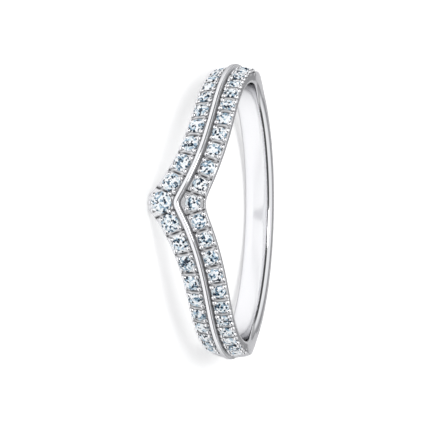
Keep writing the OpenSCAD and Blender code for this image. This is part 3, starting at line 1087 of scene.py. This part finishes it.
@dataclass(frozen=True)
class CutStone:
    """A clear stone's painted play of light: white and ice blue, a few dark patches, sizes in
    metres.
    """

    name: str = "brilliant_stone"
    # Colours of the painted reflections and sparkle, from dark patches through ice blue to white
    # glints
    stops: tuple[tuple[float, Triple], ...] = (
        (0.0, (0.003, 0.015, 0.035)), (0.2, (0.09, 0.16, 0.23)), (0.32, (0.36, 0.5, 0.62)),
        (0.46, (0.7, 0.79, 0.84)), (0.6, (0.96, 0.98, 1.0)))
    fleck: float = 0.00014
    painted_sparkle_share: float = 0.15
    roughness: float = 0.03
    ior: float = 1.5

    def material(self) -> Material:
        """Makes the material."""
        made, graph = plain_material(self.name)
        # Each face's painted sparkle value, stirred by random cells, picks a painted reflection
        # colour
        painted_sparkle = graph.add("Attribute", attribute_name="painted_sparkle").out("Fac")
        where = graph.add("TexCoord").out("Object")
        cell = graph.add("TexVoronoi", {"Vector": where, "Scale": 1.0 / self.fleck}).out("Color")
        fleck = graph.add("SeparateColor", {"Color": cell}).out("Red")
        mixed = self.painted_sparkle_share * painted_sparkle + fleck
        painted_sparkle = graph.add("Math", {0: mixed}, operation="FRACT")
        ramp = graph.add("ValToRGB", {"Fac": painted_sparkle}, stops=self.stops)
        ramp.node.color_ramp.interpolation = "CONSTANT"
        shader = graph.add("BsdfPrincipled", {"Base Color": ramp, "IOR": self.ior,
                                              "Roughness": self.roughness})
        graph.add("OutputMaterial", {"Surface": shader})
        return made


@dataclass(frozen=True)
class Sky:
    """A broad light overhead and white walls round it, with a dark gap between them.

    The gap is there for the metal to mirror, and is brighter behind the ring. The camera
    itself sees plain white. Directions are the scene's, angles are degrees from the middle
    of the overhead light or from straight behind, and brightnesses are shares of white.
    """

    middle: Triple = (0.0, 0.34, 0.94)
    light_edge: float = 57.0
    wall_edge: float = 97.0
    soft: float = 4.0
    gap: float = 0.09
    gap_behind: float = 0.58
    behind: Triple = (0.0, 1.0, 0.0)
    behind_from: float = 70.0
    behind_to: float = 50.0
    colour: Triple = (0.985, 0.99, 1.0)

    @staticmethod
    def _cosines(*angles: float) -> list[float]:
        """Cosines of angles in degrees."""
        return [cos(radians(angle)) for angle in angles]

    def build(self) -> None:
        """Makes the scene's world."""
        world = bpy.data.worlds.new("studio")
        bpy.context.scene.world = world
        world.use_nodes = True
        graph = Graph(world.node_tree)
        towards = graph.add("TexCoord").out("Generated")
        up, back = (graph.add("VectorMath", {0: towards, 1: tuple(Vector(way).normalized())},
                              operation="DOT_PRODUCT").out("Value")
                    for way in (self.middle, self.behind))
        light, above = (graph.ease(up, *self._cosines(edge + self.soft, edge - self.soft))
                        for edge in (self.light_edge, self.wall_edge))
        wall = 1.0 - above
        rear = graph.ease(back, *self._cosines(self.behind_from, self.behind_to))
        level = self.gap + (self.gap_behind - self.gap) * rear
        seen = graph.add("LightPath").out("Is Camera Ray")
        dim = (1.0 - level) * (1.0 - light) * (1.0 - wall) * (1.0 - seen)
        shader = graph.add("Background", {"Color": (*self.colour, 1.0), "Strength": 1.0 - dim})
        graph.add("OutputWorld", {"Surface": shader})


@dataclass
class Studio:
    """Camera, floor and light.

    The camera's angles are degrees about the ring's axis, and its distance and the width
    that it sees there are millimetres. The floor and the clipping are metres.
    """

    matrix: Matrix
    lean: float = 11.4
    turn: float = 3.09
    roll: float = -1.07
    away: float = 305.0
    view_width: float = 28.46
    sensor: float = 36.0
    shift: tuple[float, float] = (-0.0426, -0.0078)
    clip: tuple[float, float] = (0.01, 10.0)
    floor_size: float = 0.6
    floor_colour: Triple = (0.8, 0.8, 0.8)
    floor_roughness: float = 0.9
    floor_glow: float = 0.33
    sky: Sky = Sky()
    key_from: Triple = (-0.15, -0.55, 0.65)
    key_strength: float = 1.3
    key_spread: float = 30.0

    def camera(self) -> None:
        """Places the camera as it stands in the photo, by its angles about the ring's axis."""
        lean, turn, roll = (radians(a) for a in (self.lean, self.turn, self.roll))
        front = Vector((cos(turn), sin(turn), 0.0))
        axis = Vector((0.0, 0.0, 1.0))
        back = cos(lean) * front + sin(lean) * axis
        side = -sin(lean) * front + cos(lean) * axis
        rise = Vector((sin(turn), -cos(turn), 0.0))
        right = cos(roll) * side - sin(roll) * rise
        up = sin(roll) * side + cos(roll) * rise
        pose = Matrix((right, up, back)).transposed().to_4x4()
        pose.translation = self.away * back
        laid = self.matrix @ pose
        data = bpy.data.cameras.new("camera")
        data.type = "PERSP"
        data.sensor_fit = "HORIZONTAL"
        data.sensor_width = self.sensor
        data.lens = self.sensor * self.away / self.view_width
        data.shift_x, data.shift_y = self.shift
        data.clip_start, data.clip_end = self.clip
        camera = placed("camera", data)
        place, rotation, _ = laid.decompose()
        camera.matrix_world = Matrix.Translation(place) @ rotation.to_matrix().to_4x4()
        bpy.context.scene.camera = camera

    def floor(self) -> None:
        """Lays the pale floor under the ring."""
        half = self.floor_size / 2
        mesh = bpy.data.meshes.new("floor")
        mesh.from_pydata([(-half, -half, 0.0), (half, -half, 0.0), (half, half, 0.0),
                          (-half, half, 0.0)], [], [(0, 1, 2, 3)])
        floor = placed("floor", mesh)
        made, graph = plain_material("pale_floor")
        shader = graph.add("BsdfPrincipled", {"Base Color": (*self.floor_colour, 1.0),
                                              "Roughness": self.floor_roughness,
                                              "Emission Strength": self.floor_glow})
        graph.add("OutputMaterial", {"Surface": shader})
        mesh.materials.append(made)

    def key(self) -> None:
        """Hangs the broad main light that throws the soft shadow."""
        data = bpy.data.lights.new("key", "SUN")
        data.energy = self.key_strength
        data.angle = radians(self.key_spread)
        light = placed("key", data)
        light.rotation_euler = Vector(self.key_from).to_track_quat("Z", "Y").to_euler()

    def build(self) -> None:
        """Makes the camera, the floor and the light."""
        self.camera()
        self.floor()
        self.sky.build()
        self.key()
        bpy.context.scene.view_settings.view_transform = "Standard"


def row_name(side: Side, place: int) -> str:
    """Name of a row's stone, where 0 is the one in the middle and those below 0 are left."""
    arm = "right" if place > 0 else "left"
    return MIDDLE_NAMES[side] if place == 0 else f"{side.name.lower()}_{arm}_stone_{abs(place)}"


def main() -> None:
    """Builds the studio, the band and the stones."""
    logging.basicConfig(level=logging.INFO, format="%(name)s: %(message)s")
    chevron = Chevron(BandSizes())
    rows = {size.side: StoneRow(chevron, size) for size in (OUTER_SIZES, INNER_SIZES)}
    matrix = Rest(rows[Side.OUTER]).matrix()
    Studio(matrix).build()
    band = CastBand(chevron, rows)
    band.dress(band.build(matrix), WhiteGold().material(), "white_gold", "band")
    stone_finish = CutStone().material()
    for side, row in rows.items():
        for place, seat in enumerate(row.seats, -row.sizes.count):
            node = row_name(side, place)
            seed = SEEDS_A_ROW * (side.value + 2) + place
            stone = Brilliant(node + "_cut", seat, row.sizes.girdle_lift, seed)
            stone.dress(stone.build(matrix), stone_finish, "stone", node)


if __name__ == "__main__":
    main()
